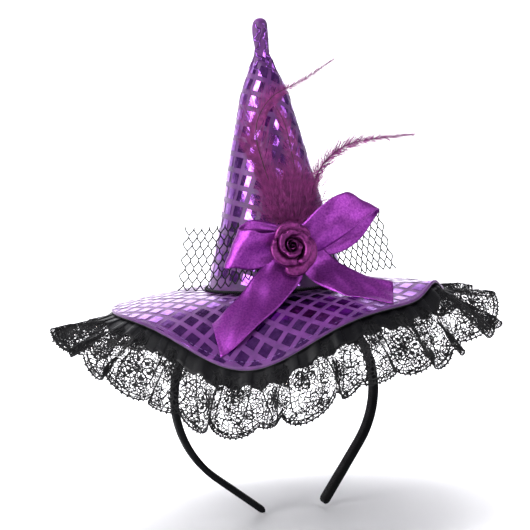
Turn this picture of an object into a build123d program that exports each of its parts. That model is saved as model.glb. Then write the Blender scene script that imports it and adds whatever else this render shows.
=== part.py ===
"""Mini witch hat on a sprung headband. Millimetres, +Z up, -Y is the front.

The origin is the centre of the headband's round part, where the wearer's head is.
"""

from build123d import *
from math import acos, atan2, cos, degrees, exp, hypot, pi, radians, sin
import os

os.makedirs("parts", exist_ok=True)

# ---- driving dimensions --------------------------------------------------------------
# headband
band_radius = 63.0          # centre line of the round part
crown_rise = 60.5           # centre line's height above the origin, under the brim
tip_left = (-12.5, -71.8)   # x, z of the left end of the centre line
tip_right = (25.7, -71.8)
band_width = 10.0
band_thick = 3.4            # over the velvet sleeve
core_width = 7.0
core_thick = 1.6
end_margin = 2.0            # velvet past the end of the core
hinge_angle = 30.0          # where each leg starts to flex, up from the X axis
hinge_gap = 0.3
sleeve_round = 0.8          # at the closed ends of the velvet
sleeve_flat = 0.1           # left flat between the sleeve's rounded edges

# hat
hat_x = 5.0                 # the hat sits this far to the right of the band's centre
glue_thick = 0.6            # between the band and the lining at the middle
glue_length = 36.0
glue_width = 14.0
glue_depth = 3.4            # it laps down the sides of the band
glue_corner = 3.0
lining_thick = 0.5
board_thick = 1.0
fabric_thick = 0.5
brim_radius = 100.0
seat_margin = 6.4           # the brim is flat this far past the cone
front_droop = 27.0          # the brim's edge against its seat, added to the droop all round
back_droop = 21.0
side_droop = 6.5
right_lift = 8.0
brim_curl = 1.6             # how late the droop starts on the way out
brim_grid = 26              # points across the brim's surface
brim_spare = 1.04           # the surface's half width against the brim's radius
cone_radius = 41.6
cone_height = 160.0
neck_below = 21.0           # from the top down to where the tip is pinched
neck_radius = 3.5
knob_below = 12.0           # and to the knob above it
knob_radius = 3.7
stiffener_thick = 1.5       # foam sheet that holds the cone open
taper_below = 45.5          # the cone is straight up to this far below the top
taper_radius = 14.7
edging_radius = 1.0         # cord round the cone's foot
clearance = 0.4
seat_gap = 0.1

# trims
trim_inside = 15.0          # how far the trims reach in under the brim
trim_outside = 9.0
trim_thick = 0.6
trim_gap = 0.5             # under the lining
lace_gap = 1.1             # under the satin
lace_width = 39.0
lace_thick = 0.5
trim_grid = 48              # points round a trim
trim_row = 3.0              # and about this far apart across it
seam_angle = 1.5            # half the gap at the trims' back seam

# bow, rose and feathers, placed from the cone's axis and the brim's top
ribbon_width = 22.0
ribbon_thick = 0.5
bow_height = 29.0
bow_tuck = 0.6              # the bow's back is this far inside the cone's foot radius
bow_depth = 9.0
tie_width = 12.0
tie_height = 21.0
tie_corner = 3.0
loop_right = 50.0           # reach of each loop from the bow's middle
loop_left = 42.0
loop_rise = 27.0            # tilt of the right loop
loop_full = 0.55            # where along its reach a loop is fullest
loop_inset = 0.4            # its faces there, inside the bow's depth
pinch_low = 1.2             # its two faces where the tie pinches it
pinch_high = 3.6
tail_start = 9.0            # each tail's start, beside the bow's middle
tail_ahead = 7.0            # and in front of the bow's back
tail_left = (-0.56, -0.74)  # each tail's end, in brim radii
tail_right = (0.46, -0.76)
tail_rise = 16.0            # a tail's upper and lower edge above the brim, where it starts
tail_fall = 12.0
tail_pinch = 0.75           # its width there, against the full width
veil_low = 4.0
veil_high = 42.0
veil_span = 68.0            # half of the angle that the veil wraps
veil_flare = 31.0
veil_thick = 0.4
veil_steps = (16, 4)        # points across the net and up it
rose_x = -5.0
rose_z = 27.0
rose_radius = 14.0
rose_depth = 12.0
backing_thick = 1.0
backing_share = 0.75        # the felt's radius against the rose's
heart_radius = 4.0
heart_taper = 6.0
petal_thick = 0.6
petal_count = 6
petal_open = 5.2            # how far the outer petal's rim stands out from its foot
petal_cup = 1.2             # how far a petal bellies in on the way
petal_lower = 0.45          # how much of the depth the outer petal's rim falls short
petal_span = 150.0
petal_turn = 137.5          # from one petal to the next
feather_base = 41.0
feather_behind = 3.8        # from the bow's back to the back feather, at their base
feather_lean = 8.0
feather_round = 0.5         # fullness of a feather's outline towards its ends
feather_thick = 0.4
feather_pitch = 0.7
fluff_middle = 22.0         # above the feathers' base
fluff_size = (15.0, 19.0)   # half width and half height
fluff_thick = 4.0
fluff_edge = 1.0

# ---- worked out ----------------------------------------------------------------------
band_outer = band_thick / 2
glue_under = crown_rise + band_outer
lining_low = glue_under + glue_thick
board_low = lining_low + lining_thick
fabric_low = board_low + board_thick
brim_top = fabric_low + fabric_thick
seat_radius = cone_radius + seat_margin
taper_height = cone_height - taper_below
neck_height = cone_height - neck_below
knob_height = cone_height - knob_below
cone_slope = (cone_radius - taper_radius) / taper_height
bow_back = cone_radius - bow_tuck
feather_front = bow_back - feather_behind


def bump(angle, middle, spread):
    """A smooth hump of height 1 round the brim, by angle in degrees."""
    apart = (angle - middle + 180) % 360 - 180
    return exp(-((apart / spread) ** 2))


def edge_drop(angle):
    """Height of the brim's edge against its flat seat: it droops at front and back."""
    front = front_droop * bump(angle, -117, 26)
    back = back_droop * bump(angle, 82, 36)
    lift = right_lift * bump(angle, -40, 10)
    return lift - side_droop - front - back


def brim_height(x, y):
    """Height of the brim's surface against its seat, from the cone's axis."""
    r = hypot(x, y)
    reach = max(0.0, (r - seat_radius) / (brim_radius - seat_radius))
    return edge_drop(degrees(atan2(y, x))) * reach**brim_curl


def hang_angle(angle):
    """How steeply the trims hang past the brim's edge, in degrees from level."""
    return 8.0 + 40.0 * (1 - exp(-((sin(radians(angle)) / 0.35) ** 2)))


def trim_face(outside, drop):
    """A ring of trim from under the brim to `outside` past its edge, open at the back."""
    grid = []
    rows = round((trim_inside + outside) / trim_row)
    for row in range(rows + 1):
        out = -trim_inside + (trim_inside + outside) * row / rows
        line = []
        for step in range(trim_grid + 1):
            angle = 90 + seam_angle + (360 - 2 * seam_angle) * step / trim_grid
            turn = radians(angle)
            hang = radians(hang_angle(angle))
            past = max(0.0, out)
            r = brim_radius + min(0.0, out) + past * cos(hang)
            under = min(r, brim_radius)
            z = brim_height(under * cos(turn), under * sin(turn)) - past * sin(hang)
            line.append((hat_x + r * cos(turn), r * sin(turn), lining_low - drop + z))
        grid.append(line)
    return Face.make_surface_from_array_of_points(grid)


def brim_face(z):
    """The brim's curved surface, larger than the brim, at height z."""
    pitch = 2 * brim_spare * brim_radius / brim_grid
    grid = []
    for i in range(brim_grid + 1):
        x = (i - brim_grid / 2) * pitch
        line = []
        for j in range(brim_grid + 1):
            y = (j - brim_grid / 2) * pitch
            line.append((hat_x + x, y, z + brim_height(x, y)))
        grid.append(line)
    return Face.make_surface_from_array_of_points(grid)


def place(x, y, z):
    """A point given from the cone's axis and the brim's top."""
    return (hat_x + x, y, brim_top + z)


def place_xz(x, z):
    """A point of an upright section through the cone's axis."""
    return (hat_x + x, brim_top + z)


def leg_tangent(tip):
    """Angle at which the straight end of a leg leaves the round part."""
    x, z = tip
    reach = hypot(x, z)
    spread = degrees(acos(band_radius / reach))
    towards = degrees(atan2(z, x))
    return towards + spread if x > 0 else towards - spread


# ---- headband ------------------------------------------------------------------------
def band_path(shorten):
    """Centre line from the left tip over the head to the right tip, less `shorten`."""
    ends = []
    for tip in (tip_left, tip_right):
        turn = leg_tangent(tip)
        start = (band_radius * cos(radians(turn)), band_radius * sin(radians(turn)))
        run = (tip[0] - start[0], tip[1] - start[1])
        keep = 1 - shorten / hypot(*run)
        ends.append((turn, start, (start[0] + run[0] * keep, start[1] + run[1] * keep)))
    (turn_l, start_l, end_l), (turn_r, start_r, end_r) = ends
    with BuildLine(Plane.XZ) as path:
        Line(end_l, start_l)
        CenterArc((0, 0), band_radius, turn_l, -(turn_l + 180))
        EllipticalCenterArc((0, 0), band_radius, crown_rise, start_angle=180, arc_size=-180)
        CenterArc((0, 0), band_radius, 0, turn_r)
        Line(start_r, end_r)
    return path


sleeve_path = band_path(0).wire()
core_path = band_path(end_margin).wire()

with BuildPart() as sleeve_blank:
    with BuildSketch(sleeve_path ^ 0):
        RectangleRounded(band_thick, band_width, band_thick / 2 - sleeve_flat)
    sweep(path=sleeve_path)
    end_faces = sleeve_blank.faces().filter_by(GeomType.PLANE).sort_by(Axis.Z)[:2]
    fillet(end_faces.edges(), sleeve_round)

with BuildPart() as core_blank:
    with BuildSketch(core_path ^ 0):
        Rectangle(core_thick, core_width)
    sweep(path=core_path)

leg_side = {"left_leg": -1, "right_leg": 1}


def hinge_plane(side, shift):
    """The radial cut where a leg meets the arch, facing the arch, moved by `shift`."""
    turn = radians(hinge_angle)
    up = Vector(-side * sin(turn), 0, cos(turn))
    return Plane(origin=up * shift, x_dir=(0, 1, 0), z_dir=up)


def leg_of(blank, side):
    """One leg of a whole band: below its hinge, on its side of the gap."""
    with BuildPart() as leg:
        add(blank.part)
        split(bisect_by=hinge_plane(side, -hinge_gap / 2), keep=Keep.BOTTOM)
        gap_middle = (tip_left[0] + tip_right[0]) / 2
        split(bisect_by=Plane.YZ.offset(gap_middle), keep=Keep.TOP if side > 0 else Keep.BOTTOM)
    return leg.part


with BuildPart() as headband_core_arch:
    add(core_blank.part)
    for side in (-1, 1):
        split(bisect_by=hinge_plane(side, hinge_gap / 2), keep=Keep.TOP)
headband_core_arch.part.label = "headband_core_arch"
export_step(headband_core_arch.part, "parts/headband_core_arch.step")

with BuildPart() as headband_cover_arch:
    add(sleeve_blank.part)
    for side in (-1, 1):
        split(bisect_by=hinge_plane(side, hinge_gap / 2), keep=Keep.TOP)
    add(core_blank.part, mode=Mode.SUBTRACT)
headband_cover_arch.part.label = "headband_cover_arch"
export_step(headband_cover_arch.part, "parts/headband_cover_arch.step")

for leg_name, side in leg_side.items():
    with BuildPart() as headband_core_leg:
        add(leg_of(core_blank, side))
    headband_core_leg.part.label = f"headband_core_{leg_name}"
    export_step(headband_core_leg.part, f"parts/headband_core_{leg_name}.step")

    with BuildPart() as headband_cover_leg:
        add(leg_of(sleeve_blank, side))
        add(core_blank.part, mode=Mode.SUBTRACT)
    headband_cover_leg.part.label = f"headband_cover_{leg_name}"
    export_step(headband_cover_leg.part, f"parts/headband_cover_{leg_name}.step")

with BuildPart() as headband_glue:
    with BuildSketch(Plane.XY.offset(lining_low - seat_gap)):
        with Locations((hat_x, 0)):
            RectangleRounded(glue_length, glue_width, glue_corner)
    extrude(amount=-glue_depth)
    add(sleeve_blank.part, mode=Mode.SUBTRACT)
headband_glue.part.label = "headband_glue"
export_step(headband_glue.part, "parts/headband_glue.step")

# ---- brim ----------------------------------------------------------------------------
with BuildPart() as brim_disc:
    with BuildSketch(Plane.XY.offset(lining_low - 2 * brim_radius)):
        with Locations((hat_x, 0)):
            Circle(brim_radius)
    extrude(amount=4 * brim_radius)


def brim_layer(low, thick):
    """One layer of the brim, cut round."""
    with BuildPart() as layer:
        extrude(brim_face(low), amount=thick, dir=(0, 0, 1))
        add(brim_disc.part, mode=Mode.INTERSECT)
    return layer.part


with BuildPart() as brim_lining:
    add(brim_layer(lining_low, lining_thick))
brim_lining.part.label = "brim_lining"
export_step(brim_lining.part, "parts/brim_lining.step")

with BuildPart() as brim_board:
    add(brim_layer(board_low, board_thick))
brim_board.part.label = "brim_board"
export_step(brim_board.part, "parts/brim_board.step")

with BuildPart() as brim_cover:
    add(brim_layer(fabric_low, fabric_thick))
brim_cover.part.label = "brim_cover"
export_step(brim_cover.part, "parts/brim_cover.step")

with BuildPart() as satin_trim:
    extrude(trim_face(trim_outside, trim_gap + trim_thick), amount=trim_thick, dir=(0, 0, 1))
satin_trim.part.label = "satin_trim"
export_step(satin_trim.part, "parts/satin_trim.step")

lace_drop = trim_gap + trim_thick + lace_gap + lace_thick
with BuildPart() as lace_ruffle:
    extrude(trim_face(lace_width, lace_drop), amount=lace_thick, dir=(0, 0, 1))
lace_ruffle.part.label = "lace_ruffle"
export_step(lace_ruffle.part, "parts/lace_ruffle.step")

# ---- cone ----------------------------------------------------------------------------
def cone_profile(shrink):
    """Half section of the pointed crown, `shrink` inside its outer face."""
    low = brim_top + seat_gap
    with BuildLine(Plane.XZ) as outline:
        Line((hat_x, low), (hat_x + cone_radius - shrink, low))
        side = Line(
            (hat_x + cone_radius - shrink, low),
            (hat_x + taper_radius - shrink, brim_top + taper_height),
        )
        tip = Spline(
            side @ 1,
            place_xz(neck_radius - shrink, neck_height),
            place_xz(knob_radius - shrink, knob_height),
            place_xz(0, cone_height - shrink),
            tangents=[side % 1, (-1, 0, 0)],
        )
        Line(tip @ 1, (hat_x, low))
    return outline


cone_axis = Axis((hat_x, 0, 0), (0, 0, 1))


def cone_solid(shrink):
    """The crown's whole shape, `shrink` inside its outer face."""
    with BuildPart() as cone:
        with BuildSketch(Plane.XZ):
            add(cone_profile(shrink))
            make_face()
        revolve(axis=cone_axis)
    return cone.part


stiffener_outside = cone_solid(fabric_thick)

with BuildPart() as crown_stiffener:
    add(stiffener_outside)
    add(cone_solid(fabric_thick + stiffener_thick), mode=Mode.SUBTRACT)
crown_stiffener.part.label = "crown_stiffener"
export_step(crown_stiffener.part, "parts/crown_stiffener.step")

with BuildPart() as crown_cover:
    add(cone_solid(0))
    add(stiffener_outside, mode=Mode.SUBTRACT)
crown_cover.part.label = "crown_cover"
export_step(crown_cover.part, "parts/crown_cover.step")

with BuildPart() as crown_edging:
    foot = edging_radius + seat_gap
    with BuildSketch(Plane.XZ):
        with Locations(place_xz(cone_radius + foot, foot)):
            Circle(edging_radius)
    revolve(axis=cone_axis)
crown_edging.part.label = "crown_edging"
export_step(crown_edging.part, "parts/crown_edging.step")

# ---- veil ----------------------------------------------------------------------------
def veil_point(across, up):
    """A point of the net behind the bow; it stands away from the cone at both ends."""
    z = veil_low + (veil_high - veil_low) * up
    turn = radians(-90 + veil_span * across)
    r = cone_radius - cone_slope * z + 2 * clearance + veil_flare * across**2
    return place(r * cos(turn), r * sin(turn), z)


veil_across, veil_up = veil_steps
veil_grid = []
for j in range(veil_up + 1):
    veil_grid.append([veil_point(2 * i / veil_across - 1, j / veil_up) for i in range(veil_across + 1)])

with BuildPart() as net_veil:
    thicken(Face.make_surface_from_array_of_points(veil_grid), amount=veil_thick)
net_veil.part.label = "net_veil"
export_step(net_veil.part, "parts/net_veil.step")

# ---- bow -----------------------------------------------------------------------------
bow_middle = place(0, -bow_back, bow_height)
tie_half = tie_width / 2
loop_start = tie_half / cos(radians(loop_rise)) + clearance + tie_height / 2 * sin(radians(loop_rise))


def loop_part(reach, start, turn):
    """A ribbon loop, flat where the tie pinches it and open at its far end."""
    direction = Vector(cos(radians(turn)), 0, sin(radians(turn)))
    plane = Plane(origin=bow_middle, x_dir=direction, z_dir=direction.cross(Vector(0, -1, 0)))
    with BuildPart() as loop:
        with BuildSketch(plane):
            with BuildLine():
                back = Spline(
                    (start, pinch_low),
                    (loop_full * reach, loop_inset),
                    (reach, bow_depth / 2),
                    tangents=[(1, -0.1), (0, 1)],
                )
                Spline(
                    back @ 1,
                    (loop_full * reach, bow_depth - loop_inset),
                    (start, pinch_high),
                    tangents=[(0, 1), (-1, -0.5)],
                )
            trace(line_width=ribbon_thick)
        extrude(amount=ribbon_width / 2, both=True)
    return loop.part


with BuildPart() as bow_loop_right:
    add(loop_part(loop_right, loop_start, loop_rise))
bow_loop_right.part.label = "bow_loop_right"
export_step(bow_loop_right.part, "parts/bow_loop_right.step")

with BuildPart() as bow_loop_left:
    add(loop_part(loop_left, tie_half + clearance, 180))
bow_loop_left.part.label = "bow_loop_left"
export_step(bow_loop_left.part, "parts/bow_loop_left.step")

with BuildPart() as bow_tie:
    with BuildSketch(Plane.XZ.offset(bow_back)):
        with Locations((bow_middle[0], bow_middle[2])):
            RectangleRounded(tie_width, tie_height, tie_corner)
    extrude(amount=bow_depth)
bow_tie.part.label = "bow_tie"
export_step(bow_tie.part, "parts/bow_tie.step")


def tail_part(side, end):
    """A ribbon tail from under the bow down to the brim, on one side of the middle."""
    start = Vector(side * tail_start, -bow_back - tail_ahead)
    run = Vector(*end) * brim_radius - start
    across = Vector(-run.Y, run.X).normalized() * (ribbon_width / 2)
    grid = []
    for i in range(9):
        u = i / 8
        line = []
        for j in range(5):
            v = j / 2 - 1
            spread = tail_pinch + (1 - tail_pinch) * u
            spot = start + run * u + across * (v * spread)
            rise = (tail_rise + tail_fall + side * v * (tail_rise - tail_fall)) / 2
            lift = (1 - u) ** brim_curl * rise
            x, y = spot.X, spot.Y
            line.append(place(x, y, brim_height(x, y) + clearance + lift))
        grid.append(line)
    with BuildPart() as tail:
        extrude(Face.make_surface_from_array_of_points(grid), amount=ribbon_thick, dir=(0, 0, 1))
    return tail.part


with BuildPart() as bow_tail_left:
    add(tail_part(-1, tail_left))
bow_tail_left.part.label = "bow_tail_left"
export_step(bow_tail_left.part, "parts/bow_tail_left.step")

with BuildPart() as bow_tail_right:
    add(tail_part(1, tail_right))
bow_tail_right.part.label = "bow_tail_right"
export_step(bow_tail_right.part, "parts/bow_tail_right.step")

# ---- rose ----------------------------------------------------------------------------
rose_back = bow_back + bow_depth + seat_gap
rose_axis = Axis(place(rose_x, 0, rose_z), (0, -1, 0))

with BuildPart() as rose_backing:
    with BuildSketch(Plane.XZ.offset(rose_back)):
        with Locations((hat_x + rose_x, brim_top + rose_z)):
            Circle(backing_share * rose_radius)
    extrude(amount=backing_thick)
rose_backing.part.label = "rose_backing"
export_step(rose_backing.part, "parts/rose_backing.step")

petal_low = rose_back + backing_thick + seat_gap
with BuildPart() as rose_heart:
    with BuildSketch(Plane.XZ.offset(petal_low)):
        with Locations((hat_x + rose_x, brim_top + rose_z)):
            Circle(heart_radius)
    extrude(amount=rose_depth, taper=heart_taper)
rose_heart.part.label = "rose_heart"
export_step(rose_heart.part, "parts/rose_heart.step")

for petal_index in range(petal_count):
    share = (petal_index + 1) / petal_count
    foot_radius = heart_radius + clearance + petal_index * (petal_thick + clearance)
    rim_radius = foot_radius + petal_open * share
    rim_front = petal_low + rose_depth * (1 - petal_lower * share)
    cup = Plane(place(rose_x, 0, rose_z), x_dir=(1, 0, 0), z_dir=(0, 0, 1))
    with BuildPart() as rose_petal:
        with BuildSketch(cup):
            with BuildLine():
                inner = Spline(
                    (foot_radius, -petal_low),
                    (rim_radius - petal_cup, -(petal_low + rim_front) / 2),
                    (rim_radius, -rim_front),
                )
                outer = Spline(
                    (rim_radius + petal_thick, -rim_front),
                    (rim_radius - petal_cup + petal_thick, -(petal_low + rim_front) / 2),
                    (foot_radius + petal_thick, -petal_low),
                )
                Line(inner @ 1, outer @ 0)
                Line(outer @ 1, inner @ 0)
            make_face()
        revolve(axis=rose_axis, revolution_arc=petal_span)
    spun = rose_petal.part.rotate(rose_axis, petal_index * petal_turn)
    spun.label = f"rose_petal_{petal_index + 1}"
    export_step(spun, f"parts/rose_petal_{petal_index + 1}.step")

# ---- feathers ------------------------------------------------------------------------
lean = radians(feather_lean)


def feather_plane(layer):
    """An upright plane in front of the cone that leans back along it."""
    out = feather_front + layer * feather_pitch
    origin = place(0, -out, feather_base)
    return Plane(origin=origin, x_dir=(1, 0, 0), z_dir=(0, -cos(lean), sin(lean)))


# centre lines from the base to the tip, across and up from the base, and half widths
feathers = {
    "feather_left": ([(-6, 0), (-13, 26), (-18, 46), (-18, 56), (-14, 68)], 4.0),
    "feather_wisp": ([(-8, 2), (-14, 24), (-19, 40), (-26, 56)], 2.5),
    "feather_middle": ([(3, 0), (5, 26), (3, 48), (-1, 66), (-7, 80)], 5.0),
    "feather_tall": ([(1, 0), (-7, 28), (-11, 54), (-1, 76), (14, 90), (32, 101)], 8.0),
    "feather_right": ([(8, 0), (14, 16), (23, 32), (42, 43), (62, 47), (80, 50)], 6.0),
}

for layer, (feather_name, (stem, half_width)) in enumerate(feathers.items()):
    left_edge = []
    right_edge = []
    for i in range(1, len(stem) - 1):
        ahead = Vector(*stem[i + 1]) - Vector(*stem[i - 1])
        side_step = Vector(-ahead.Y, ahead.X).normalized() * half_width
        side_step = side_step * sin(pi * i / (len(stem) - 1)) ** feather_round
        left_edge.append(Vector(*stem[i]) + side_step)
        right_edge.append(Vector(*stem[i]) - side_step)
    with BuildPart() as feather:
        with BuildSketch(feather_plane(layer)):
            with BuildLine():
                Spline(stem[0], *[(p.X, p.Y) for p in left_edge], stem[-1])
                Spline(stem[0], *[(p.X, p.Y) for p in right_edge], stem[-1])
            make_face()
        extrude(amount=feather_thick)
    feather.part.label = feather_name
    export_step(feather.part, f"parts/{feather_name}.step")

with BuildPart() as feather_fluff:
    with BuildSketch(feather_plane(len(feathers))):
        with Locations((0, fluff_middle)):
            Ellipse(*fluff_size)
    extrude(amount=fluff_thick)
    fillet(feather_fluff.faces().sort_by(Axis.Y)[0].edges(), fluff_edge)
feather_fluff.part.label = "feather_fluff"
export_step(feather_fluff.part, "parts/feather_fluff.step")
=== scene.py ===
"""Mini witch hat on a headband: soft pieces, materials, lights and camera round the frame."""
import random
from math import acos, atan2, ceil, cos, degrees, exp, floor, hypot, pi, radians, sin, sqrt

import bpy
import numpy as np
from mathutils import Matrix, Vector


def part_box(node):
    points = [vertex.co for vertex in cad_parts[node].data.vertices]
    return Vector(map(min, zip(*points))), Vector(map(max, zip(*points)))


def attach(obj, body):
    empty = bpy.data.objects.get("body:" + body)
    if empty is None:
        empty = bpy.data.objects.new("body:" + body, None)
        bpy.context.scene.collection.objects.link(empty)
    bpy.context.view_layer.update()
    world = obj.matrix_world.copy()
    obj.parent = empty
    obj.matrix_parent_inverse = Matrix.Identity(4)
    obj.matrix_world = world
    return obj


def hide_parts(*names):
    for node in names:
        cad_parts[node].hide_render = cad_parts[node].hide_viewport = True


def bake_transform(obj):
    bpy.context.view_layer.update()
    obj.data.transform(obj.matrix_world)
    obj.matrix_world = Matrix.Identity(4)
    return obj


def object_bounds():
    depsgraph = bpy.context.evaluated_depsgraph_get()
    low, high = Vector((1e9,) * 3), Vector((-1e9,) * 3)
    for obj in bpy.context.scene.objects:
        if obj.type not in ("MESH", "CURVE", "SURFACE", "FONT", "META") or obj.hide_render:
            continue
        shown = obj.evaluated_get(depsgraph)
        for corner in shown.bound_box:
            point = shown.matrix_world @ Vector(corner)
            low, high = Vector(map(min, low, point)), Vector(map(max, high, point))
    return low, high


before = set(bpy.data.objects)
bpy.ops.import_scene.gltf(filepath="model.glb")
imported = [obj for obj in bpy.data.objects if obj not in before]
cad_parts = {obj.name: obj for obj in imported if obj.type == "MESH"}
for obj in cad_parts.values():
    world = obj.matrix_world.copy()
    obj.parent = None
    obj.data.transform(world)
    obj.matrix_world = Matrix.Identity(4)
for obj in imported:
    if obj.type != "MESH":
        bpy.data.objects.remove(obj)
cad_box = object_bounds()
MM = 0.001
draw = random.Random(7)

# ---- sizes, in millimetres, from the frame where it has them ----
cone_low, cone_high = (np.array(c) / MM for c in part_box("crown_cover"))
HAT_X = float((cone_low[0] + cone_high[0]) / 2)
BRIM_TOP = float(cone_low[2]) - 0.1
CONE_RADIUS = float(cone_high[0] - cone_low[0]) / 2
CONE_HEIGHT = float(cone_high[2]) - BRIM_TOP
brim_low, brim_high = (np.array(c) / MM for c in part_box("brim_cover"))
BRIM_RADIUS = float(brim_high[0] - brim_low[0]) / 2
SEAT_RADIUS = 48.0
LINING_LOW = BRIM_TOP - 2.0
TAPER_HEIGHT = 114.5
TAPER_RADIUS = 14.7
KNOB_HEIGHT = 148.0
TIP_RADIUS = 4.5
TIP_SPARE = 0.7              # the visual tip stands this far over the stiffener
CONE_SLOPE = (CONE_RADIUS - TAPER_RADIUS) / TAPER_HEIGHT
HALF_ANGLE = atan2(CONE_RADIUS - TAPER_RADIUS, TAPER_HEIGHT)
SLANT_BASE = CONE_RADIUS / sin(HALF_ANGLE)
SLANT_NECK = 37.0            # no foil above the pinched neck
BAND_RADIUS = 63.0
BAND_RISE = 60.5
BAND_TIPS = {-1: (-12.5, -71.8), 1: (25.7, -71.8)}
BAND_WIDTH = 11.0
BAND_THICK = 4.3
LACE_WIDTH = 39.0
LACE_SEWN = 10.0             # width of lace hidden under the brim
TRIM_OUTSIDE = 8.5
TRIM_SEWN = 12.0
HEM_INSET = 2.6
BOW_HEIGHT = 29.0
FOIL_SQUARE = 6.2
FOIL_PITCH = 9.3


# ---- shapes shared by the hat's layers ----
def hump(angle, middle, spread):
    """A smooth bump of height 1 at an angle in degrees."""
    apart = (angle - middle + 180) % 360 - 180
    return exp(-((apart / spread) ** 2))


def edge_drop(angle):
    """Height of the brim's edge against its flat seat."""
    front = -27.0 * hump(angle, -117, 26)
    back = -21.0 * hump(angle, 82, 36)
    return -6.5 + front + back + 8.0 * hump(angle, -40, 10)


def brim_height(x, y):
    """Height of the brim's top over its flat seat."""
    reach = max(0.0, (hypot(x, y) - SEAT_RADIUS) / (BRIM_RADIUS - SEAT_RADIUS))
    return edge_drop(degrees(atan2(y, x))) * reach**1.6


def hang_angle(angle):
    """How steeply the trims hang, in degrees; flatter at the sides."""
    return 8.0 + 40.0 * (1 - exp(-((sin(radians(angle)) / 0.35) ** 2)))


def on_hat(x, y, z):
    """A point given from the cone's axis and the brim's top."""
    return (HAT_X + x, y, BRIM_TOP + z)


def on_brim(r, turn, lift):
    x, y = r * cos(turn), r * sin(turn)
    return on_hat(x, y, brim_height(x, y) + lift)


def cone_radius_at(z):
    """The crown's outer radius at a height above the brim."""
    if z <= TAPER_HEIGHT:
        return CONE_RADIUS - CONE_SLOPE * z
    if z > KNOB_HEIGHT:
        up = min(1.0, (z - KNOB_HEIGHT) / (CONE_HEIGHT + TIP_SPARE - KNOB_HEIGHT))
        return TIP_RADIUS * sqrt(1 - up**6)
    heights = [TAPER_HEIGHT, 122, 131, 139, 143, KNOB_HEIGHT]
    radii = [TAPER_RADIUS, 11.8, 7.6, 4.7, 4.4, TIP_RADIUS]
    return float(np.interp(z, heights, radii))


def under_edge(turn, out, drop):
    """A point of the trims: `out` past the brim's edge and `drop` under the lining."""
    hang = radians(hang_angle(degrees(turn)))
    past = max(0.0, out)
    r = BRIM_RADIUS + min(0.0, out) + past * cos(hang)
    under = min(r, BRIM_RADIUS)
    z = brim_height(under * cos(turn), under * sin(turn)) - past * sin(hang)
    return np.array([HAT_X + r * cos(turn), r * sin(turn), LINING_LOW - drop + z])


# ---- mesh helpers ----
def make_object(name, points, faces, material, body="hat", smooth=True, uv=None):
    """A mesh piece from points in millimetres."""
    mesh = bpy.data.meshes.new(name)
    mesh.from_pydata([tuple(float(c) * MM for c in p) for p in points], [], faces)
    mesh.validate()
    mesh.polygons.foreach_set("use_smooth", [smooth] * len(mesh.polygons))
    if uv is not None:
        layer = mesh.uv_layers.new(name="cloth")
        for loop in mesh.loops:
            layer.data[loop.index].uv = uv[loop.vertex_index]
    mesh.materials.append(material)
    mesh.update()
    piece = bpy.data.objects.new(name, mesh)
    bpy.context.scene.collection.objects.link(piece)
    if body:
        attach(piece, body)
    return piece


def grid_faces(rows, columns, closed=False):
    faces = []
    for i in range(rows - 1):
        for j in range(columns if closed else columns - 1):
            a = i * columns + j
            b = i * columns + (j + 1) % columns
            faces.append((a, b, b + columns, a + columns))
    return faces


def thicken(piece, thickness, offset=0.0):
    solid = piece.modifiers.new("thickness", "SOLIDIFY")
    solid.thickness = thickness * MM
    solid.offset = offset
    solid.use_even_offset = False


def spline(stations, count):
    """Catmull-Rom curve through the stations, at `count` even parameters."""
    pts = np.array(stations, float)
    ext = np.vstack([2 * pts[0] - pts[1], pts, 2 * pts[-1] - pts[-2]])
    out = []
    for k in range(count):
        t = k / (count - 1) * (len(pts) - 1)
        i = min(int(t), len(pts) - 2)
        f = t - i
        a, b, c, d = ext[i], ext[i + 1], ext[i + 2], ext[i + 3]
        square, cube = 2 * a - 5 * b + 4 * c - d, 3 * b - a - 3 * c + d
        out.append(0.5 * (2 * b + (c - a) * f + square * f * f + cube * f**3))
    return np.array(out)


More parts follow.
